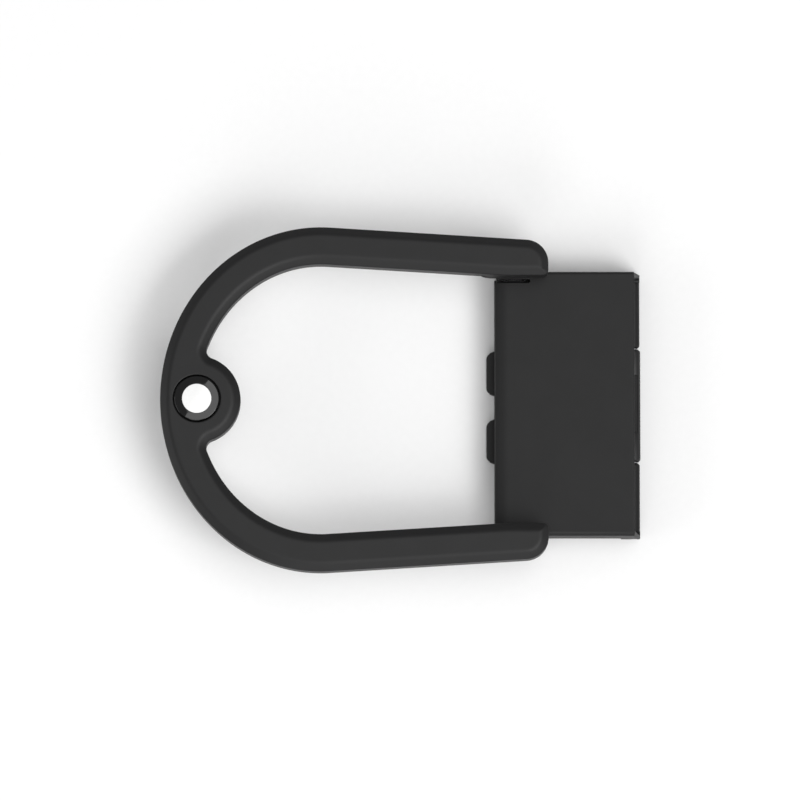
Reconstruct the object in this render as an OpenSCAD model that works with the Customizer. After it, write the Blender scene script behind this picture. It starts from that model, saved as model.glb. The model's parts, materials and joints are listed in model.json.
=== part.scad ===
// Horseshoe belt buckle for a 35 mm strap: a hinged bow with a belt stud under its boss, and a
// clamp housing whose toothed back flap grips the strap end.
// Millimetres. The housing's back lies on Z = 0 and +Z is the buckle's face.
// +X runs from the closed end of the bow to the strap mouth, and Y is across the strap.

/* [Strap] */
// Width of the strap that the buckle fits
strap_w = 35; // [34:0.5:36]
// Side play of the strap inside the housing, each side
strap_play = 0.5; // [0.2:0.05:0.6]

/* [Bow] */
// Half length of the bow's outer ellipse, along X
bow_a = 22.95; // [21:0.05:25]
// Half width of the bow's outer ellipse, across the strap
bow_b = 24.8; // [24.2:0.05:26]
// Width of the band, from its outer to its inner edge
band_w = 5.45; // [4.6:0.05:5.6]
// How much each arm's outer edge closes in per millimetre towards the housing
taper_out = 0.0620; // [0.05:0.0001:0.065]
// How much each arm's inner edge closes in per millimetre towards the housing
taper_in = 0.0609; // [0.055:0.0001:0.07]
// Thickness of the band
bow_t = 3.7; // [3:0.1:4.5]
// Height of the band's underside above the housing's back
bow_z = 8.5; // [8.2:0.1:9.5]
// Width of the soft bevel along the band's upper edges
edge_w = 1.1; // [0.6:0.05:1.2]
// Height of that bevel
edge_h = 0.7; // [0.3:0.05:0.9]
// Radius of the round boss at the closed end
boss_r = 6.24; // [5.5:0.01:7]

/* [Emblem] */
// Radius of the round recess in the boss
seat_r = 3.44; // [3:0.01:4]
// Radius of the gloss cap in the recess
cap_r = 3.2; // [2.6:0.01:3.3]
// Radius of the plain light disc in the cap
dot_r = 2.1; // [1:0.1:2.4]

/* [Stud] */
// Radius of the stud that enters the strap's hole
stud_r = 1.7; // [1.4:0.05:2]
// How far the stud stands out below the boss
stud_len = 5; // [4:0.1:6]

/* [Housing] */
// Length of the top plate, along X
plate_l = 20.05; // [18:0.05:24]
// Height of the housing, from its back to its face
house_h = 6.2; // [6.2:0.1:6.6]
// Thickness of the top plate
plate_t = 0.9; // [0.8:0.05:1]
// Thickness of the side walls and hinge ears
wall_t = 1.1; // [1.1:0.05:1.4]
// Length of the slot that frees each hinge ear from the top plate
slot_l = 5.1; // [4.4:0.1:6]
// Width of that slot
slot_w = 0.52; // [0.4:0.02:0.8]
// How far each hinge ear ends short of the top plate's inner edge
ear_back = 0.25; // [0.2:0.05:0.4]

/* [Hinge] */
// Distance from the housing's inner end to the hinge pins
pivot_in = 2.75; // [2.6:0.05:3]
// Height of the hinge pins above the housing's back
pivot_z = 3.9; // [3.8:0.05:4]
// Radius of the hinge pins
pin_r = 1; // [0.8:0.05:1.1]
// Radial play of each hinge pin in its ear
pin_play = 0.05; // [0.03:0.01:0.08]

/* [Clamp flap] */
// Thickness of the flap
flap_t = 1; // [0.8:0.05:1.1]
// Height of the teeth above the flap
tooth_h = 1.3; // [0.6:0.1:1.4]
// Number of teeth in each of the two rows
tooth_n = 11; // [5:2:13]
// Width of each finger tab
tab_w = 5.9; // [4:0.1:6.5]
// How far the finger tabs stand out past the housing
tab_out = 1.15; // [0.8:0.05:1.6]
// Radius of the flap's hinge pin
flap_pin_r = 0.45; // [0.35:0.05:0.5]

/* [Hidden] */
$fn = 64;
// bow outline
bow_x = -11.5;
in_a = bow_a - band_w + 0.1;
in_b = bow_b - band_w + 0.05;
boss_x = bow_x - bow_a + 5.25;
bow_top = bow_z + bow_t;
// housing
half_in = strap_w / 2 + strap_play;
half_out = half_in + wall_t;
x0 = 13.43;
x1 = x0 + plate_l;
under_z = house_h - plate_t;
bend_r = 0.6;
wall_z = flap_t + 0.1;
// hinge of the bow
pivot_x = x0 + pivot_in;
cheek_in = half_out + 0.3;
cheek_out = cheek_in + 2.1;
cheek_r = 2.1;
nose_x = pivot_x + 4.9;
arm_in = half_in - 0.19;
rest_z = 7.1;
head_r = 1.7;
head_t = 0.45;
head_seat = 0.55;
// hinge of the flap
knuckle_z = 0.95;
knuckle_r = 0.95;
lip_r = 0.85;
knuckle_x = x1 + 0.02;
// ends of the knuckle across the strap, which sits a little towards +Y
knuckle_lo = 7.95;
knuckle_hi = 8.4;
lip_gap = 0.12;
lip_bevel = 0.3;
foot_in = 0.2;
strip_l = 1.9;
tab_y = 4.93;

// ---------- bow outline: each entry is [x, y, direction of the outward normal], and the arm's
// inner corner has its radius as a fourth number ----------

function ell_n(a, b, t) = atan2(sin(t) / b, cos(t) / a);

// where each ellipse has the taper's slope
out_u = taper_out * bow_a / bow_b / sqrt(1 + pow(taper_out * bow_a / bow_b, 2));
in_u = taper_in * in_a / in_b / sqrt(1 + pow(taper_in * in_a / in_b, 2));
out_t1 = acos(out_u);
in_t1 = acos(in_u);
tilt_out = atan(taper_out);
tilt_in = atan(taper_in);
out_p = [bow_x + bow_a * cos(out_t1), bow_b * sin(out_t1)];
in_p = [bow_x + in_a * cos(in_t1), in_b * sin(in_t1)];

// rounded outer corner of the arm's end, tangent to the outer edge and to the end face
nose_r = 3.3;
nose_cx = nose_x - nose_r;
nose_cy = out_p[1] - taper_out * (nose_cx - out_p[0]) - nose_r / cos(tilt_out);
// rounded inner corner of the arm's end
tip_r = 0.8;
tip_cx = nose_x - tip_r;
tip_cy = arm_in + tip_r;
// inner edge: it runs parallel to X once it has closed in to the strap channel
in_par_x = in_p[0] + (in_p[1] - arm_in) / taper_in;

// fillet between the boss and the inner ellipse, tangent to both
fil_t = 157.5;
fil_p = [bow_x + in_a * cos(fil_t), in_b * sin(fil_t)];
fil_n = ell_n(in_a, in_b, fil_t) + 180;
fil_d = fil_p - [boss_x, 0];
fil_dot = fil_d[0] * cos(fil_n) + fil_d[1] * sin(fil_n);
fil_r = (fil_d * fil_d - boss_r * boss_r) / (2 * (boss_r - fil_dot));
fil_c = [fil_p[0] + fil_r * cos(fil_n), fil_p[1] + fil_r * sin(fil_n)];
boss_t = atan2(fil_c[1], fil_c[0] - boss_x);

function arc(cx, cy, r, t0, t1, n, flip = 0) = [
    for (i = [0 : n]) let (t = t0 + (t1 - t0) * i / n)
        [cx + r * cos(t), cy + r * sin(t), t + flip]
];
function oval(a, b, t0, t1, n, flip = 0) = [
    for (i = [0 : n]) let (t = t0 + (t1 - t0) * i / n)
        [bow_x + a * cos(t), b * sin(t), ell_n(a, b, t) + flip]
];

// upper half: the outer edge and the inner edge, both from the closed end to the arm's end,
// with the same number of points, so that they pair up across the band
outer_edge = concat(
    oval(bow_a, bow_b, 180, fil_t, 14),
    [for (p = oval(bow_a, bow_b, fil_t, out_t1, 14)) if (p[0] > bow_x + bow_a * cos(fil_t)) p],
    [for (x = [4, in_par_x]) [x, out_p[1] - taper_out * (x - out_p[0]), 90 - tilt_out]],
    arc(nose_cx, nose_cy, nose_r, 90 - tilt_out, 0, 6)
);
inner_edge = concat(
    arc(boss_x, 0, boss_r, 0, boss_t, 8),
    [for (i = [5 : -1 : 0]) let (t = fil_n - 180 + (boss_t + 360 - fil_n) * i / 6)
        [fil_c[0] + fil_r * cos(t), fil_c[1] + fil_r * sin(t), t + 180]],
    [for (p = oval(in_a, in_b, fil_t, in_t1, 14, 180)) if (p[0] > fil_p[0]) p],
    [[4, in_p[1] - taper_in * (4 - in_p[0]), -90 - tilt_in], [in_par_x, arm_in, -90 - tilt_in / 2]],
    [for (p = arc(tip_cx, tip_cy, tip_r, -90, 0, 6)) [p[0], p[1], p[2], tip_r - 0.05]]
);
edge_n = len(outer_edge);
function flipped(p) = [p[0], -p[1], -p[2], p[3]];
outline = concat(
    outer_edge,
    [for (i = [edge_n - 1 : -1 : 0]) inner_edge[i]],
    [for (i = [1 : edge_n - 1]) flipped(inner_edge[i])],
    [for (i = [edge_n - 1 : -1 : 1]) flipped(outer_edge[i])]
);
// the outline drawn in by d: past its own radius, a corner moves in along its diagonal
function inset(d, z) = [
    for (p = outline) let (k = is_num(p[3]) ? min(d, p[3]) : d)
        [p[0] - k * cos(p[2]) - (d - k), p[1] - k * sin(p[2]) + (d - k) * sign(p[1]), z]
];

// levels of the band's rounded section: [inset, height]
low_r = 0.35;
levels = concat(
    [[low_r, bow_z], [0, bow_z + low_r]],
    [[0, bow_top - edge_h - 0.12], [0.1, bow_top - edge_h + 0.04]],
    [[edge_w - 0.2, bow_top - 0.12], [edge_w + 0.16, bow_top]]
);

// index on the outline of point i of the outer or inner edge, in the upper or lower half
function ring_i(i, inner, lower) =
    inner ? (lower ? 2 * edge_n - 1 + i : 2 * edge_n - 1 - i)
          : (lower ? (len(outline) - i) % len(outline) : i);
// the flat faces as pairs of triangles across the band, clockwise seen from above
function cap(base) = [
    for (lower = [false, true], i = [0 : edge_n - 2])
        let (a = base + ring_i(i, false, lower), b = base + ring_i(i + 1, false, lower))
        let (c = base + ring_i(i + 1, true, lower), d = base + ring_i(i, true, lower))
        each (lower ? [[c, b, a], [d, c, a]] : [[a, b, c], [a, c, d]])
];
function turned(faces) = [for (f = faces) [f[2], f[1], f[0]]];

module band() {
    n = len(outline);
    m = len(levels);
    pts = [for (l = levels) each inset(l[0], l[1])];
    sides = [for (j = [0 : m - 2], i = [0 : n - 1]) let (k = (i + 1) % n)
        each [[j * n + i, j * n + k, (j + 1) * n + k], [j * n + i, (j + 1) * n + k, (j + 1) * n + i]]];
    polyhedron(points = pts, faces = concat(sides, turned(cap(0)), cap((m - 1) * n)));
}

// one arm's hinge cheek with its stop shoulder, on the +Y side
module cheek() {
    translate([0, cheek_out, 0]) rotate([90, 0, 0])
        linear_extrude(height = cheek_out - cheek_in)
            union() {
                translate([pivot_x, pivot_z]) circle(r = cheek_r);
                polygon([
                    [pivot_x - cheek_r, pivot_z], [pivot_x + cheek_r, pivot_z],
                    [pivot_x + cheek_r, bow_z - 1.6], [pivot_x + cheek_r + 1.2, bow_z + 0.6],
                    [pivot_x - cheek_r - 1.8, bow_z + 0.6], [pivot_x - cheek_r, bow_z - 1.6]
                ]);
            }
    translate([0, cheek_in + 0.4, 0]) rotate([90, 0, 0])
        linear_extrude(height = cheek_in + 0.4 - arm_in - 0.12)
            polygon([
                [x0 - 0.6, rest_z], [pivot_x + 0.8, rest_z],
                [pivot_x + 2.6, bow_z + 0.6], [x0 - 2, bow_z + 0.6], [x0 - 1.4, rest_z + 0.6]
            ]);
}

module both_sides() {
    children();
    mirror([0, 1, 0]) children();
}

// ---------- parts of the bow ----------

seat_z = bow_top - 1.7;
screw_seat_z = seat_z - 0.75;

module frame_bow() {
    color([0.2, 0.2, 0.21])
        difference() {
            union() {
                band();
                both_sides() cheek();
            }
            // recess for the emblem, seat for the screw head, and the screw's hole
            translate([boss_x, 0, seat_z]) cylinder(r = seat_r, h = 3);
            translate([boss_x, 0, screw_seat_z]) cylinder(r = 2.3, h = 1);
            translate([boss_x, 0, bow_z - 1]) cylinder(r = 1.3, h = 4);
            // seat for the stud's flange
            translate([boss_x, 0, bow_z - 1]) cylinder(r = 3.05, h = 1.4);
            // blind holes for the hinge pins
            both_sides()
                translate([pivot_x, cheek_in - 0.5, pivot_z]) rotate([-90, 0, 0])
                    cylinder(r = pin_r, h = 2.1);
        }
}

cap_z = seat_z + 0.02;
cap_top = bow_top + 0.1;
cap_flat_r = cap_r - 0.55;

module emblem_cap() {
    color([0.05, 0.05, 0.06])
        difference() {
            union() {
                translate([boss_x, 0, cap_z]) cylinder(r = cap_r, h = cap_top - 0.28 - cap_z);
                translate([boss_x, 0, cap_top - 0.28])
                    cylinder(r1 = cap_r, r2 = cap_flat_r, h = 0.28);
            }
            // pocket for the light disc
            translate([boss_x, 0, cap_top - 0.5]) cylinder(r = dot_r, h = 1);
        }
}

module emblem_dot() {
    color([0.93, 0.93, 0.92])
        translate([boss_x, 0, cap_top - 0.5]) cylinder(r = dot_r, h = 0.5);
}

flange_z = bow_z + 0.4;

module hook_stud() {
    color([0.22, 0.22, 0.23])
        difference() {
            union() {
                // flange let into the boss
                translate([boss_x, 0, bow_z - 0.2]) cylinder(r = 3, h = flange_z - bow_z + 0.2);
                // shank and rounded tip
                translate([boss_x, 0, bow_z - stud_len + 0.6])
                    cylinder(r = stud_r, h = stud_len - 0.6);
                translate([boss_x, 0, bow_z - stud_len])
                    cylinder(r1 = stud_r - 0.5, r2 = stud_r, h = 0.6);
                // spigot that centres the stud in the boss
                translate([boss_x, 0, flange_z - 0.1]) cylinder(r = 1.28, h = 0.7);
            }
            // tapped hole for the screw
            translate([boss_x, 0, bow_z - 1.6]) cylinder(r = 0.8, h = 4);
        }
}

module stud_screw() {
    color([0.6, 0.6, 0.62])
        difference() {
            union() {
                translate([boss_x, 0, screw_seat_z]) cylinder(r = 2.1, h = 0.65);
                translate([boss_x, 0, bow_z - 1.5])
                    cylinder(r = 0.8, h = screw_seat_z - bow_z + 1.6);
            }
            // hexagon socket
            translate([boss_x, 0, screw_seat_z + 0.2]) cylinder(r = 0.9, h = 1, $fn = 6);
        }
}

// hinge pin with a flat head let into the ear, on the +Y side
module hinge_pin() {
    translate([pivot_x, half_in + 0.05, pivot_z]) rotate([-90, 0, 0])
        union() {
            cylinder(r = head_r, h = head_t);
            cylinder(r = pin_r, h = cheek_in + 1.55 - half_in - 0.05);
        }
}

module hinge_pin_left() {
    color([0.45, 0.45, 0.47]) hinge_pin();
}

module hinge_pin_right() {
    color([0.45, 0.45, 0.47]) mirror([0, 1, 0]) hinge_pin();
}

// thin friction washer between the ear and the cheek, on the +Y side
module hinge_washer() {
    translate([pivot_x, half_out + 0.05, pivot_z]) rotate([-90, 0, 0])
        difference() {
            cylinder(r = 1.9, h = 0.25);
            translate([0, 0, -1]) cylinder(r = pin_r, h = 3);
        }
}

module hinge_washer_left() {
    color([0.85, 0.85, 0.8]) hinge_washer();
}

module hinge_washer_right() {
    color([0.85, 0.85, 0.8]) mirror([0, 1, 0]) hinge_washer();
}

// ---------- parts of the clamp ----------

// section of the channel across Y: top plate and two side walls with rounded bends
module channel_section() {
    difference() {
        union() {
            translate([-half_out, wall_z]) square([2 * half_out, house_h - bend_r - wall_z]);
            translate([-half_out + bend_r, wall_z])
                square([2 * (half_out - bend_r), house_h - wall_z]);
            translate([half_out - bend_r, house_h - bend_r]) circle(r = bend_r);
            translate([-half_out + bend_r, house_h - bend_r]) circle(r = bend_r);
        }
        translate([-half_in, -1]) square([2 * half_in, under_z + 1]);
        // each wall's lower outer edge is bevelled
        polygon([[half_out + 1, wall_z - 1], [half_out + 1, wall_z + 2.2],
            [half_out, wall_z + 1.2], [half_out - 0.8, wall_z - 0.01], [half_out - 0.8, wall_z - 1]]);
        polygon([[-half_out - 1, wall_z - 1], [-half_out - 1, wall_z + 2.2],
            [-half_out, wall_z + 1.2], [-half_out + 0.8, wall_z - 0.01], [-half_out + 0.8, wall_z - 1]]);
    }
}

module clamp_housing() {
    color([0.3, 0.3, 0.32])
        difference() {
            union() {
                translate([x0, 0, 0]) rotate([90, 0, 90])
                    linear_extrude(height = plate_l) channel_section();
                // lower front corners: each wall runs down and forward to its hinge lip
                both_sides() mouth_corner();
                hinge_lip(knuckle_hi);
                mirror([0, 1]) hinge_lip(knuckle_lo);
            }
            // slots that free the hinge ears from the top plate
            both_sides()
                translate([x0 - 1, half_in - slot_w, under_z - 0.5])
                    cube([slot_l + 1 - slot_w / 2, slot_w, 3]);
            both_sides()
                translate([x0 + slot_l - slot_w / 2, half_in - slot_w / 2, under_z - 0.5])
                    cylinder(r = slot_w / 2, h = 3);
            // the ears' inner ends stand back from the top plate's edge
            both_sides()
                translate([x0 - 1, half_in - 0.05, -1])
                    cube([1 + ear_back, wall_t + 1, house_h + 2]);
            // the top plate falls gently towards its inner edge, and its mouth edge is bevelled
            translate([x0, half_out + 1, house_h]) rotate([90, 0, 0])
                linear_extrude(height = 2 * half_out + 2) union() {
                    polygon([
                        [-1, 1], [-1, -0.56], [0, -0.42], [0.12, -0.27], [0.6, -0.15], [1.15, -0.055],
                        [1.55, -0.015], [2, 0], [2, 1]
                    ]);
                    polygon([[plate_l - 0.3, 0], [plate_l + 2, -0.7], [plate_l + 2, 1], [plate_l - 0.3, 1]]);
                }
            // the top plate's inner corners are rounded in plan
            both_sides()
                translate([x0, half_in - slot_w, under_z - 0.5])
                    linear_extrude(height = 3) difference() {
                        translate([-1, -0.5]) square([1.5, 1.5]);
                        translate([0.5, -0.5]) circle(r = 0.5);
                    }
            // running holes and head seats of the bow's hinge pins
            both_sides()
                translate([pivot_x, half_in - 1, pivot_z]) rotate([-90, 0, 0])
                    cylinder(r = pin_r + pin_play, h = 4);
            both_sides()
                translate([pivot_x, half_in - 1, pivot_z]) rotate([-90, 0, 0])
                    cylinder(r = head_r + 0.1, h = 1 + head_seat);
            // each foot is set in a little below the wall
            both_sides()
                translate([x1 - strip_l - 0.5, half_out - foot_in, -1])
                    cube([strip_l + 3, 1, 1 + wall_z]);
            // hole for the flap's hinge pin
            translate([knuckle_x, -half_out - 1, knuckle_z]) rotate([-90, 0, 0])
                cylinder(r = flap_pin_r, h = 2 * half_out + 2);
            // lead-in on the inside of each wall at the strap mouth
            both_sides()
                translate([x1 - 0.7, half_in, 2])
                    linear_extrude(height = under_z - 2)
                        polygon([[0, -1], [0, 0], [1.6, 0.7], [1.6, -1]]);
        }
}

// wall's foot at the strap mouth, on the +Y side
module mouth_corner() {
    translate([0, half_out, 0]) rotate([90, 0, 0])
        linear_extrude(height = wall_t)
            union() {
                translate([knuckle_x, knuckle_z]) circle(r = lip_r);
                polygon([
                    [x1 - strip_l, knuckle_z - lip_r], [knuckle_x, knuckle_z - lip_r],
                    [knuckle_x + lip_r, knuckle_z], [knuckle_x + lip_r, 2.2],
                    [x1, under_z], [x1 - strip_l, under_z]
                ]);
            }
}

// back strip and lip beside the flap's knuckle, on the +Y side
module hinge_lip(start) {
    reach = half_in + 0.1 - start - lip_gap;
    translate([0, half_in + 0.1, 0]) rotate([90, 0, 0])
        union() {
            translate([knuckle_x, knuckle_z, 0]) cylinder(r = lip_r, h = reach - lip_bevel);
            translate([knuckle_x, knuckle_z, reach - lip_bevel])
                cylinder(r1 = lip_r, r2 = lip_r - lip_bevel, h = lip_bevel);
            linear_extrude(height = reach)
                translate([x1 - strip_l, knuckle_z - lip_r])
                    square([strip_l + 0.02, 1]);
        }
}

module tooth_row(x) {
    for (i = [0 : tooth_n - 1])
        translate([x, (i - (tooth_n - 1) / 2) * 2.7 - 0.9, flap_t - 0.1])
            rotate([-90, 0, 0]) linear_extrude(height = 1.8)
                polygon([[-0.5, 0], [0.9, 0], [-0.5, -tooth_h - 0.1], [-0.7, -tooth_h - 0.1]]);
}

// plan of one finger tab, on the +Y side
module tab_plan() {
    r = 0.9;
    translate([x0 - tab_out + r, tab_y - tab_w / 2 + r]) circle(r = r);
    translate([x0 - tab_out + r, tab_y + tab_w / 2 - r]) circle(r = r);
    translate([x0 - tab_out, tab_y - tab_w / 2 + r]) square([tab_out + 1, tab_w - 2 * r]);
    translate([x0 - tab_out + r, tab_y - tab_w / 2]) square([tab_out + 1 - r, tab_w]);
    // the tab widens a little at its root
    translate([x0, tab_y])
        polygon([
            [-tab_out * 0.6, -tab_w / 2], [0.2, -tab_w / 2 - 0.35],
            [0.2, tab_w / 2 + 0.35], [-tab_out * 0.6, tab_w / 2]
        ]);
}

module clamp_flap() {
    color([0.4, 0.4, 0.42])
        difference() {
            union() {
                // plate between the walls' feet
                linear_extrude(height = flap_t)
                    union() {
                        translate([x0, -half_out + 0.65])
                            square([plate_l - strip_l - 0.2, 2 * half_out - 1.3]);
                        translate([x0 + 5, -knuckle_lo])
                            square([plate_l - 5, knuckle_lo + knuckle_hi]);
                        tab_plan();
                        mirror([0, 1]) tab_plan();
                    }
                // knuckle, bevelled at both ends
                translate([knuckle_x, -knuckle_lo, knuckle_z]) rotate([-90, 0, 0]) {
                    cylinder(r1 = knuckle_r - lip_bevel, r2 = knuckle_r, h = lip_bevel);
                    translate([0, 0, lip_bevel])
                        cylinder(r = knuckle_r, h = knuckle_lo + knuckle_hi - 2 * lip_bevel);
                    translate([0, 0, knuckle_lo + knuckle_hi - lip_bevel])
                        cylinder(r1 = knuckle_r, r2 = knuckle_r - lip_bevel, h = lip_bevel);
                }
                tooth_row(x1 - 6.4);
                tooth_row(x1 - 3.6);
            }
            // running hole for the hinge pin
            translate([knuckle_x, -20, knuckle_z]) rotate([-90, 0, 0])
                cylinder(r = flap_pin_r + 0.05, h = 40);
            // long shallow recess in the knuckle
            translate([knuckle_x - 2, -3.75, knuckle_z + 0.6]) cube([2.55, 8.35, 2]);
        }
}

module clamp_pin() {
    color([0.6, 0.6, 0.62])
        translate([knuckle_x, -half_out + foot_in + 0.05, knuckle_z]) rotate([-90, 0, 0])
            cylinder(r = flap_pin_r, h = 2 * (half_out - foot_in - 0.05));
}

frame_bow();
emblem_cap();
emblem_dot();
hook_stud();
stud_screw();
hinge_pin_left();
hinge_pin_right();
hinge_washer_left();
hinge_washer_right();
clamp_housing();
clamp_flap();
clamp_pin();
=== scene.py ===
"""Horseshoe belt buckle, lying face up on a plain pale floor."""
import json
import math

import bmesh
import bpy
from mathutils import Matrix, Vector


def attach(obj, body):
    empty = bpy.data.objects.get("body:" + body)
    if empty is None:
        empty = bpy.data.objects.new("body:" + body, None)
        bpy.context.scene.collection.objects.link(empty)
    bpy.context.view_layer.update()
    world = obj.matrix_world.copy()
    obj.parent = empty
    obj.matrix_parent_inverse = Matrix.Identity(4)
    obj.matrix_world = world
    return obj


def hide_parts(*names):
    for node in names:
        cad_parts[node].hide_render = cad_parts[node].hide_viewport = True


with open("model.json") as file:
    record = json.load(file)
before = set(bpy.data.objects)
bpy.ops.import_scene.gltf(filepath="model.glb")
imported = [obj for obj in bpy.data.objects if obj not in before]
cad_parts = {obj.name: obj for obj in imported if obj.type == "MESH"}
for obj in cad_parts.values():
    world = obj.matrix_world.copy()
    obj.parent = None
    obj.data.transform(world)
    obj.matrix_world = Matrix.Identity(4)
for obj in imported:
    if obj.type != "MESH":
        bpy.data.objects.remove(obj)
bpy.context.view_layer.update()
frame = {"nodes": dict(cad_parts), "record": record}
nodes = frame["nodes"]
scene = bpy.context.scene
MM = 0.001


# ---------------------------------------------------------------- camera and studio

CAM_DIST = 1.3
CAM_TILT = math.radians(6.8)
target = Vector((-0.00016, 0.0005, 0.006))
cam_data = bpy.data.cameras.new("camera")
cam_data.sensor_width = 36.0
cam_data.lens = 36.0 * CAM_DIST / 0.1148
cam_data.clip_start = 0.05
cam_data.clip_end = 20.0
camera = bpy.data.objects.new("camera", cam_data)
scene.collection.objects.link(camera)
camera.location = target + Vector((0, -math.sin(CAM_TILT), math.cos(CAM_TILT))) * CAM_DIST
camera.rotation_euler = (CAM_TILT, 0, 0)
scene.camera = camera
scene.view_settings.view_transform = "Standard"


def soft_box(name, at, look, size, power):
    """A rectangular area light at one point, aimed at another."""
    data = bpy.data.lights.new(name, "AREA")
    data.shape = "RECTANGLE"
    data.size, data.size_y = size
    data.energy = power
    obj = bpy.data.objects.new(name, data)
    scene.collection.objects.link(obj)
    obj.location = at
    aim = (Vector(look) - Vector(at)).to_track_quat("-Z", "Y").to_matrix().to_4x4()
    obj.matrix_world = Matrix.Translation(at) @ aim
    obj.visible_camera = False
    return obj


def at_angle(azimuth, height, distance):
    """The point at an azimuth and height (degrees), seen from the middle of the object."""
    a, h = math.radians(azimuth), math.radians(height)
    flat = distance * math.cos(h)
    return (flat * math.cos(a), flat * math.sin(a), distance * math.sin(h))


CENTRE = (0.0, 0.0, 0.006)
# the main light hangs overhead: its edge crosses the glossy emblem's reflection
CARD_Z, CARD_SIZE = 1.45, 1.2
LIGHT_DIST = 1.5
card_edge = Vector((0.53, 0.85, 0)).normalized()
card_edge_at = Vector((-0.0620, 0.1720, CARD_Z))
over = card_edge_at + Vector((card_edge.y, -card_edge.x, 0)) * (CARD_SIZE / 2)
overhead = soft_box("overhead", over, over - Vector((0, 0, 1)), (CARD_SIZE, CARD_SIZE), 9.9)
card_turn = Matrix.Rotation(math.atan2(card_edge.y, card_edge.x), 4, "Z")
overhead.matrix_world = Matrix.Translation(over) @ card_turn
soft_box("key_light", at_angle(318, 52, LIGHT_DIST), CENTRE, (0.80, 0.70), 10.4)
soft_box("key_low", at_angle(262, 32, LIGHT_DIST), CENTRE, (0.72, 0.72), 4.6)
soft_box("left_low", at_angle(190, 22, LIGHT_DIST), CENTRE, (1.10, 0.60), 5.4)

world = bpy.data.worlds.new("studio")
scene.world = world
world.use_nodes = True
world.node_tree.nodes["Background"].inputs["Color"].default_value = (1, 1, 1, 1)
world.node_tree.nodes["Background"].inputs["Strength"].default_value = 0.355


# ---------------------------------------------------------------- materials

def material(name):
    """A new node material, with its shader and its texture coordinates."""
    mat = bpy.data.materials.new(name)
    mat.use_nodes = True
    nt = mat.node_tree
    shader = nt.nodes["Principled BSDF"]
    coords = nt.nodes.new("ShaderNodeTexCoord")
    return mat, nt, shader, coords


def noise(nt, coords, scale, detail=2.0, rough=0.5):
    n = nt.nodes.new("ShaderNodeTexNoise")
    n.inputs["Scale"].default_value = scale
    n.inputs["Detail"].default_value = detail
    n.inputs["Roughness"].default_value = rough
    nt.links.new(coords.outputs["Object"], n.inputs["Vector"])
    return n


def ramp(nt, source, stops, colour=True):
    """A colour ramp, or a ramp of plain values, driven by a texture."""
    r = nt.nodes.new("ShaderNodeValToRGB")
    r.color_ramp.elements[0].position = stops[0][0]
    r.color_ramp.elements[1].position = stops[-1][0]
    for position, _ in stops[1:-1]:
        r.color_ramp.elements.new(position)
    for element, (_, value) in zip(r.color_ramp.elements, stops):
        element.color = tuple(value) + (1,) if colour else (value, value, value, 1)
    nt.links.new(source, r.inputs["Fac"])
    return r


def bump(nt, shader, source, strength, distance, after=None):
    b = nt.nodes.new("ShaderNodeBump")
    b.inputs["Strength"].default_value = strength
    b.inputs["Distance"].default_value = distance
    nt.links.new(source, b.inputs["Height"])
    if after:
        nt.links.new(after.outputs["Normal"], b.inputs["Normal"])
    nt.links.new(b.outputs["Normal"], shader.inputs["Normal"])
    return b


def matte_black(name, specular):
    """Fine-grained matte black coating: a satin skin over a very fine grain."""
    mat, nt, shader, coords = material(name)
    grain = noise(nt, coords, 14000, 3.0, 0.6)
    cloud = noise(nt, coords, 260, 3.0, 0.55)
    tone = ramp(nt, cloud.outputs["Fac"], [(0.3, (0.0060, 0.0060, 0.0062)), (0.7, (0.0074, 0.0074, 0.0077))])
    nt.links.new(tone.outputs["Color"], shader.inputs["Base Color"])
    rough = ramp(nt, grain.outputs["Fac"], [(0.25, 0.47), (0.75, 0.58)], colour=False)
    nt.links.new(rough.outputs["Color"], shader.inputs["Roughness"])
    shader.inputs["Specular IOR Level"].default_value = specular
    waves = bump(nt, shader, cloud.outputs["Fac"], 0.25, 0.00002)
    bump(nt, shader, grain.outputs["Fac"], 0.35, 0.000004, after=waves)
    return mat


def gloss(name, low, high, rough, scale):
    """Polished resin, with a slight haze."""
    mat, nt, shader, coords = material(name)
    haze = noise(nt, coords, scale, 3.0, 0.6)
    tone = ramp(nt, haze.outputs["Fac"], [(0.3, low), (0.7, high)])
    nt.links.new(tone.outputs["Color"], shader.inputs["Base Color"])
    r = ramp(nt, haze.outputs["Fac"], [(0.2, rough * 0.8), (0.8, rough * 1.3)], colour=False)
    nt.links.new(r.outputs["Color"], shader.inputs["Roughness"])
    bump(nt, shader, haze.outputs["Fac"], 0.05, 0.000003)
    return mat


def turned_steel():
    """Bare steel with fine turning rings across its axis."""
    mat, nt, shader, coords = material("turned_steel")
    shader.inputs["Metallic"].default_value = 1.0
    rings = nt.nodes.new("ShaderNodeTexWave")
    rings.wave_type = "BANDS"
    rings.bands_direction = "Y"
    rings.inputs["Scale"].default_value = 2600
    rings.inputs["Distortion"].default_value = 1.5
    nt.links.new(coords.outputs["Object"], rings.inputs["Vector"])
    cloud = noise(nt, coords, 900, 3.0, 0.6)
    tone = ramp(nt, cloud.outputs["Fac"], [(0.3, (0.42, 0.42, 0.44)), (0.7, (0.56, 0.56, 0.58))])
    nt.links.new(tone.outputs["Color"], shader.inputs["Base Color"])
    r = ramp(nt, cloud.outputs["Fac"], [(0.2, 0.24), (0.8, 0.40)], colour=False)
    nt.links.new(r.outputs["Color"], shader.inputs["Roughness"])
    bump(nt, shader, rings.outputs["Fac"], 0.2, 0.000004)
    return mat


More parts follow.
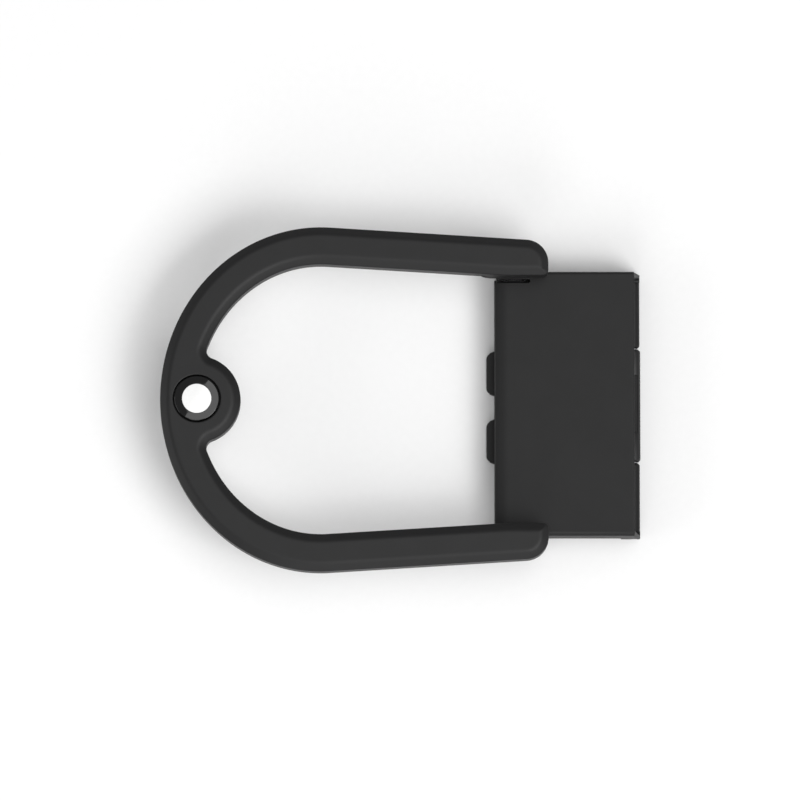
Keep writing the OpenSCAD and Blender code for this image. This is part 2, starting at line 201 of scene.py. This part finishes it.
def polymer():
    """Natural polymer of the friction washers."""
    mat, nt, shader, coords = material("washer_polymer")
    grain = noise(nt, coords, 5000, 3.0, 0.6)
    tone = ramp(nt, grain.outputs["Fac"], [(0.3, (0.56, 0.54, 0.47)), (0.7, (0.66, 0.64, 0.57))])
    nt.links.new(tone.outputs["Color"], shader.inputs["Base Color"])
    r = ramp(nt, grain.outputs["Fac"], [(0.2, 0.5), (0.8, 0.65)], colour=False)
    nt.links.new(r.outputs["Color"], shader.inputs["Roughness"])
    bump(nt, shader, grain.outputs["Fac"], 0.2, 0.00001)
    return mat


def floor_paper():
    """Plain pale paper, hardly glossy."""
    mat, nt, shader, coords = material("floor_paper")
    grain = noise(nt, coords, 900, 2.0, 0.5)
    tone = ramp(nt, grain.outputs["Fac"], [(0.3, (0.85, 0.85, 0.85)), (0.7, (0.86, 0.86, 0.86))])
    nt.links.new(tone.outputs["Color"], shader.inputs["Base Color"])
    shader.inputs["Roughness"].default_value = 0.9
    shader.inputs["Specular IOR Level"].default_value = 0.1
    return mat


BLACK = matte_black("matte_black_coating", 0.34)
SHEET_BLACK = matte_black("matte_black_sheet", 0.29)
# the flap has the same coating as the housing; its higher specular is painted sheen, a lighter copy that
# brightens the tabs lying in the housing's shade
FLAP_BLACK_PAINTED_SHEEN = matte_black("matte_black_flap_painted_sheen", 0.42)
CAP = gloss("gloss_black", (0.0020, 0.0020, 0.0022), (0.0030, 0.0030, 0.0032), 0.02, 3000)
WHITE = gloss("gloss_white", (0.80, 0.80, 0.795), (0.84, 0.84, 0.835), 0.12, 3000)
STEEL = turned_steel()
POLYMER = polymer()


# ---------------------------------------------------------------- mesh helpers

def plain_object(name, bm):
    """An object without a material, made from a bmesh, which is freed."""
    mesh = bpy.data.meshes.new(name)
    bm.to_mesh(mesh)
    bm.free()
    obj = bpy.data.objects.new(name, mesh)
    scene.collection.objects.link(obj)
    return obj


def finished(name, bm, mat):
    """An object with outward faces, a material and smooth shading."""
    bmesh.ops.recalc_face_normals(bm, faces=bm.faces)
    obj = plain_object(name, bm)
    finish_mesh(obj, mat)
    return obj


def finish_mesh(obj, mat, sharp=38.0):
    """One material, smooth shading, and sharp edges above an angle in degrees."""
    mesh = obj.data
    mesh.materials.clear()
    mesh.materials.append(mat)
    for poly in mesh.polygons:
        poly.use_smooth = True
        poly.material_index = 0
    mesh.set_sharp_from_angle(angle=math.radians(sharp))


def weighted(obj):
    mod = obj.modifiers.new("weighted", "WEIGHTED_NORMAL")
    mod.keep_sharp = True
    mod.weight = 100


def bake_modifiers(obj):
    deps = bpy.context.evaluated_depsgraph_get()
    mesh = bpy.data.meshes.new_from_object(obj.evaluated_get(deps))
    obj.modifiers.clear()
    obj.data = mesh


def combine(obj, others, operation):
    """Join or cut an object with others, which are then removed."""
    for other in others:
        mod = obj.modifiers.new("cut", "BOOLEAN")
        mod.operation = operation
        mod.solver = "EXACT"
        mod.object = other
    bake_modifiers(obj)
    for other in others:
        bpy.data.objects.remove(other, do_unlink=True)


def prism(points, y0, y1, edge=0.0):
    """An outline in X and Z (mm), drawn out along Y, with its end edges rounded."""
    bm = bmesh.new()
    near = [bm.verts.new((x * MM, y0 * MM, z * MM)) for x, z in points]
    far = [bm.verts.new((x * MM, y1 * MM, z * MM)) for x, z in points]
    bm.faces.new(near)
    bm.faces.new(far[::-1])
    n = len(points)
    for i in range(n):
        bm.faces.new((near[i], far[i], far[(i + 1) % n], near[(i + 1) % n]))
    bmesh.ops.recalc_face_normals(bm, faces=bm.faces)
    if edge:
        rims = [e for e in bm.edges if abs(e.verts[0].co.y - e.verts[1].co.y) < 1e-9]
        bmesh.ops.bevel(bm, geom=rims, offset=edge * MM, offset_type="OFFSET", segments=3,
                        profile=0.5, affect="EDGES", clamp_overlap=False)
    return bm


def lathe(name, profile, centre, mat, steps=128):
    """A closed profile of (radius, height) in mm, turned about Z through centre (mm)."""
    bm = bmesh.new()
    rings = []
    for r, h in profile:
        if r < 1e-6:
            rings.append([bm.verts.new((0, 0, h * MM))])
            continue
        rings.append([bm.verts.new((r * MM * math.cos(a), r * MM * math.sin(a), h * MM))
                      for a in (2 * math.pi * i / steps for i in range(steps))])
    pairs = list(zip(rings, rings[1:]))
    if len(rings[0]) > 1:
        pairs.append((rings[-1], rings[0]))
    for a, b in pairs:
        for i in range(steps):
            j = (i + 1) % steps
            if len(a) == 1 and len(b) == 1:
                break
            if len(a) == 1:
                bm.faces.new((a[0], b[i], b[j]))
            elif len(b) == 1:
                bm.faces.new((a[i], a[j], b[0]))
            else:
                bm.faces.new((a[i], a[j], b[j], b[i]))
    bmesh.ops.translate(bm, verts=bm.verts, vec=Vector(centre) * MM)
    return finished(name, bm, mat)


def rounded(points, radii, steps=5):
    """A polyline with its corners rounded: radii has one radius per inner corner."""
    out = [Vector(points[0])]
    for i, radius in enumerate(radii, 1):
        a, b, c = Vector(points[i - 1]), Vector(points[i]), Vector(points[i + 1])
        u, v = (a - b).normalized(), (c - b).normalized()
        half = u.angle(v) / 2
        reach = radius / math.tan(half)
        centre = b + (u + v).normalized() * (radius / math.sin(half))
        p, q = b + u * reach - centre, b + v * reach - centre
        for k in range(steps + 1):
            t = k / steps
            d = (p * (1 - t) + q * t).normalized() * radius
            out.append(centre + d)
    out.append(Vector(points[-1]))
    return [tuple(p) for p in out]


# edges whose faces meet at less than this angle (degrees) are left as they are
SOFTEN_ABOVE = 28.0


def softened(node, mat, edge, segments):
    """The CAD node's own shape with its outward edges rounded, kept inside the node's own box."""
    bm = bmesh.new()
    bm.from_mesh(nodes[node].data)
    bmesh.ops.remove_doubles(bm, verts=bm.verts, dist=2e-7)
    bmesh.ops.dissolve_limit(bm, angle_limit=math.radians(0.6), verts=bm.verts, edges=bm.edges)
    edges = [e for e in bm.edges if len(e.link_faces) == 2 and e.is_convex
             and e.calc_face_angle(0) > math.radians(SOFTEN_ABOVE)]
    low, high = (Vector([f(v.co[i] for v in bm.verts) for i in range(3)]) for f in (min, max))
    bmesh.ops.bevel(bm, geom=edges, offset=edge * MM, offset_type="OFFSET", segments=segments,
                    profile=0.5, affect="EDGES", clamp_overlap=False, loop_slide=True)
    for v in bm.verts:
        v.co = Vector([min(max(v.co[i], low[i]), high[i]) for i in range(3)])
    obj = finished(node + "_piece", bm, mat)
    weighted(obj)
    place(obj, node)
    return obj


body_of = {n: b for b, names in frame["record"]["behaviour"]["bodies"].items() for n in names}


def place(obj, node):
    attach(obj, body_of[node])
    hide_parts(node)


# ---------------------------------------------------------------- the bow (mm)

BOW_X, BOW_A, BOW_B, BAND_W = -11.5, 22.95, 24.782, 5.45
TAPER_OUT, TAPER_IN = 0.0620, 0.0609
IN_A, IN_B = BOW_A - BAND_W + 0.1, 19.4
BOSS_X, BOSS_R = BOW_X - BOW_A + 5.25, 6.24
BOW_Z, BOW_TOP = 8.5, 12.2
BEVEL_DROP, BEVEL_IN, LOWER_R = 0.70, 1.10, 0.35
HALF_OUT, X0 = 19.1, 13.43
PIVOT_X, PIVOT_Z = X0 + 2.75, 3.9
CHEEK_IN, CHEEK_OUT, CHEEK_R = HALF_OUT + 0.3, HALF_OUT + 2.4, 2.1
NOSE_X, ARM_IN = PIVOT_X + 4.9, 17.81
NOSE_R, TIP_R = 3.3, 0.8


def cosd(t): return math.cos(math.radians(t))
def sind(t): return math.sin(math.radians(t))


def oval(a, b, t0, t1, n, flip=0):
    """Points (x, y, normal in degrees, most that it may be inset) on an ellipse round the bow's centre."""
    points = []
    for i in range(n + 1):
        t = t0 + (t1 - t0) * i / n
        normal = math.degrees(math.atan2(sind(t) / b, cosd(t) / a)) + flip
        points.append((BOW_X + a * cosd(t), b * sind(t), normal, None))
    return points


def arc(cx, cy, r, t0, t1, n, flip=0, limit=None):
    """The same on a circle."""
    return [(cx + r * cosd(t), cy + r * sind(t), t + flip, limit)
            for t in (t0 + (t1 - t0) * i / n for i in range(n + 1))]


def bow_outline():
    """The bow's closed outline in plan, as points with their outward normals."""
    def touch(a, b, taper):
        s = taper * a / b
        return math.degrees(math.acos(s / math.sqrt(1 + s * s)))
    t_out, t_in = touch(BOW_A, BOW_B, TAPER_OUT), touch(IN_A, IN_B, TAPER_IN)
    out_p = (BOW_X + BOW_A * cosd(t_out), BOW_B * sind(t_out))
    in_p = (BOW_X + IN_A * cosd(t_in), IN_B * sind(t_in))
    tilt_out, tilt_in = (math.degrees(math.atan(t)) for t in (TAPER_OUT, TAPER_IN))
    nose_cx = NOSE_X - NOSE_R
    nose_cy = out_p[1] - TAPER_OUT * (nose_cx - out_p[0]) - NOSE_R / cosd(tilt_out)
    par_x = in_p[0] + (in_p[1] - ARM_IN) / TAPER_IN
    # fillet between the boss and the inner ellipse
    fil_t = 157.5
    fx, fy = BOW_X + IN_A * cosd(fil_t), IN_B * sind(fil_t)
    fil_n = math.degrees(math.atan2(sind(fil_t) / IN_B, cosd(fil_t) / IN_A)) + 180
    dx, dy = fx - BOSS_X, fy
    dot = dx * cosd(fil_n) + dy * sind(fil_n)
    fil_r = (dx * dx + dy * dy - BOSS_R ** 2) / (2 * (BOSS_R - dot))
    cx, cy = fx + fil_r * cosd(fil_n), fy + fil_r * sind(fil_n)
    boss_t = math.degrees(math.atan2(cy, cx - BOSS_X))
    outer = oval(BOW_A, BOW_B, 180, t_out, 84)
    steps = 14
    for i in range(1, steps):
        x = out_p[0] + (nose_cx - out_p[0]) * i / steps
        outer.append((x, out_p[1] - TAPER_OUT * (x - out_p[0]), 90 - tilt_out, None))
    outer += arc(nose_cx, nose_cy, NOSE_R, 90 - tilt_out, 0, 14)
    inner = arc(BOSS_X, 0, BOSS_R, 0, boss_t, 26)
    inner += [(x, y, n + 180, None) for x, y, n, _ in
              arc(cx, cy, fil_r, boss_t + 180, fil_n - 180, 14)[1:]]
    inner += oval(IN_A, IN_B, fil_t, t_in, 66, 180)[1:]
    for i in range(1, steps):
        x = in_p[0] + (par_x - in_p[0]) * i / steps
        inner.append((x, in_p[1] - TAPER_IN * (x - in_p[0]), -90 - tilt_in, None))
    # the inner edge turns parallel to X
    inner += [(par_x - 0.5, ARM_IN + 0.5 * TAPER_IN, -90 - tilt_in, None),
              (par_x, ARM_IN, -90 - tilt_in / 2, None),
              (par_x + 0.5, ARM_IN, -90, None)]
    inner += arc(NOSE_X - TIP_R, ARM_IN + TIP_R, TIP_R, -90, 0, 8, limit=TIP_R - 0.03)
    mirror = lambda p: (p[0], -p[1], -p[2], p[3])
    return (outer + inner[::-1] + [mirror(p) for p in inner[1:]] + [mirror(p) for p in outer[:0:-1]])


def inset(points, d):
    """The outline moved inwards by d; a point past its limit moves straight back and outwards instead."""
    out = []
    for x, y, n, limit in points:
        k = d if limit is None else min(d, limit)
        out.append((x - k * cosd(n) - (d - k), y - k * sind(n) + math.copysign(d - k, y)))
    return out


def build_bow():
    outline = bow_outline()
    low = [(LOWER_R * (1 - sind(a)), BOW_Z + LOWER_R * (1 - cosd(a))) for a in (0, 22.5, 45, 67.5, 90)]
    side = [(0, BOW_Z + 0.36), (0, BOW_TOP - BEVEL_DROP), (BEVEL_IN, BOW_TOP), (2 * BEVEL_IN, BOW_TOP)]
    high = rounded(side, (0.30, 1.20), 6)
    levels = low + high[1:-1] + [(1.56, BOW_TOP)]
    bm = bmesh.new()
    rings = []
    for d, z in levels:
        rings.append([bm.verts.new((x * MM, y * MM, z * MM)) for x, y in inset(outline, d)])
    n = len(outline)
    for a, b in zip(rings, rings[1:]):
        for i in range(n):
            j = (i + 1) % n
            bm.faces.new((a[i], a[j], b[j], b[i]))
    # bore through the boss: seat of the stud's flange, screw hole, screw seat and recess of the cap
    bore = [(3.05, BOW_Z), (3.05, 8.9), (1.3, 8.9), (1.3, 9.75), (2.3, 9.75), (2.3, 10.5), (3.44, 10.5),
            (3.44, BOW_TOP - 0.06), (3.46, BOW_TOP - 0.02), (3.52, BOW_TOP), (3.61, BOW_TOP)]
    steps = 96
    turns = []
    for r, z in bore:
        turns.append([bm.verts.new(((BOSS_X + r * cosd(a)) * MM, r * sind(a) * MM, z * MM))
                      for a in (360.0 * i / steps for i in range(steps))])
    for a, b in zip(turns, turns[1:]):
        for i in range(steps):
            j = (i + 1) % steps
            bm.faces.new((a[i], b[i], b[j], a[j]))

    def ring_edges(*loops):
        found = []
        for loop in loops:
            for i, v in enumerate(loop):
                found.append(bm.edges.get((v, loop[(i + 1) % len(loop)])))
        return found
    bmesh.ops.triangle_fill(bm, use_beauty=True, use_dissolve=False, edges=ring_edges(rings[0], turns[0]))
    bmesh.ops.triangle_fill(bm, use_beauty=True, use_dissolve=False, edges=ring_edges(rings[-1], turns[-1]))
    bmesh.ops.recalc_face_normals(bm, faces=bm.faces)
    bow = plain_object("bow_casting", bm)

    tools = []
    top = BOW_Z + 0.6
    cheek = [(PIVOT_X + CHEEK_R * cosd(a), PIVOT_Z + CHEEK_R * sind(a)) for a in range(-180, 1, 10)]
    cheek += [(PIVOT_X + CHEEK_R, BOW_Z - 1.6), (PIVOT_X + CHEEK_R + 1.2, top),
              (PIVOT_X - CHEEK_R - 1.8, top), (PIVOT_X - CHEEK_R, BOW_Z - 1.6)]
    shoulder = [(X0 - 0.6, 7.1), (PIVOT_X + 0.8, 7.1), (PIVOT_X + 2.6, top), (X0 - 2, top), (X0 - 1.4, 7.7)]
    for side in (1, -1):
        tools.append(plain_object("cheek", prism(cheek, side * CHEEK_IN, side * CHEEK_OUT, 0.22)))
        near, far = side * (ARM_IN + 0.12), side * (CHEEK_IN + 0.4)
        tools.append(plain_object("shoulder", prism(shoulder, near, far, 0.12)))
    combine(bow, tools, "UNION")
    holes = []
    ring = [(PIVOT_X + 1.005 * cosd(a), PIVOT_Z + 1.005 * sind(a)) for a in range(0, 360, 10)]
    for side in (1, -1):
        holes.append(plain_object("pin_hole", prism(ring, side * (CHEEK_IN - 0.5), side * (CHEEK_IN + 1.6))))
    combine(bow, holes, "DIFFERENCE")
    finish_mesh(bow, BLACK, 40.0)
    weighted(bow)
    place(bow, "frame_bow")


build_bow()


# ---------------------------------------------------------------- emblem

def build_emblem():
    seat, top = 10.52, BOW_TOP + 0.1
    cap_r, dot_r = 3.2, 2.1
    floor_z = top - 0.5
    edge = rounded([(cap_r, seat), (cap_r, top), (2.2, top)], (0.14,), 6)
    profile = [(0.0, seat)] + edge + [(dot_r, top), (dot_r, floor_z), (0.0, floor_z)]
    cap = lathe("emblem_ring", profile, (BOSS_X, 0, 0), CAP)
    place(cap, "emblem_cap")
    rim = rounded([(dot_r, floor_z), (dot_r, top), (0.0, top)], (0.05,), 4)
    dot = lathe("emblem_disc", [(0.0, floor_z)] + rim, (BOSS_X, 0, 0), WHITE)
    place(dot, "emblem_dot")


build_emblem()


# ---------------------------------------------------------------- pieces kept in the CAD model's shape

softened("clamp_housing", SHEET_BLACK, 0.10, 3)
softened("clamp_flap", FLAP_BLACK_PAINTED_SHEEN, 0.08, 2)
softened("hook_stud", BLACK, 0.10, 3)
softened("stud_screw", STEEL, 0.04, 2)
softened("hinge_pin_left", STEEL, 0.05, 2)
softened("hinge_pin_right", STEEL, 0.05, 2)
softened("clamp_pin", STEEL, 0.04, 2)
softened("hinge_washer_left", POLYMER, 0.03, 2)
softened("hinge_washer_right", POLYMER, 0.03, 2)


# ---------------------------------------------------------------- floor

def build_floor():
    bm = bmesh.new()
    bmesh.ops.create_grid(bm, x_segments=8, y_segments=8, size=4.0)
    floor = plain_object("floor", bm)
    floor.data.materials.append(floor_paper())


build_floor()
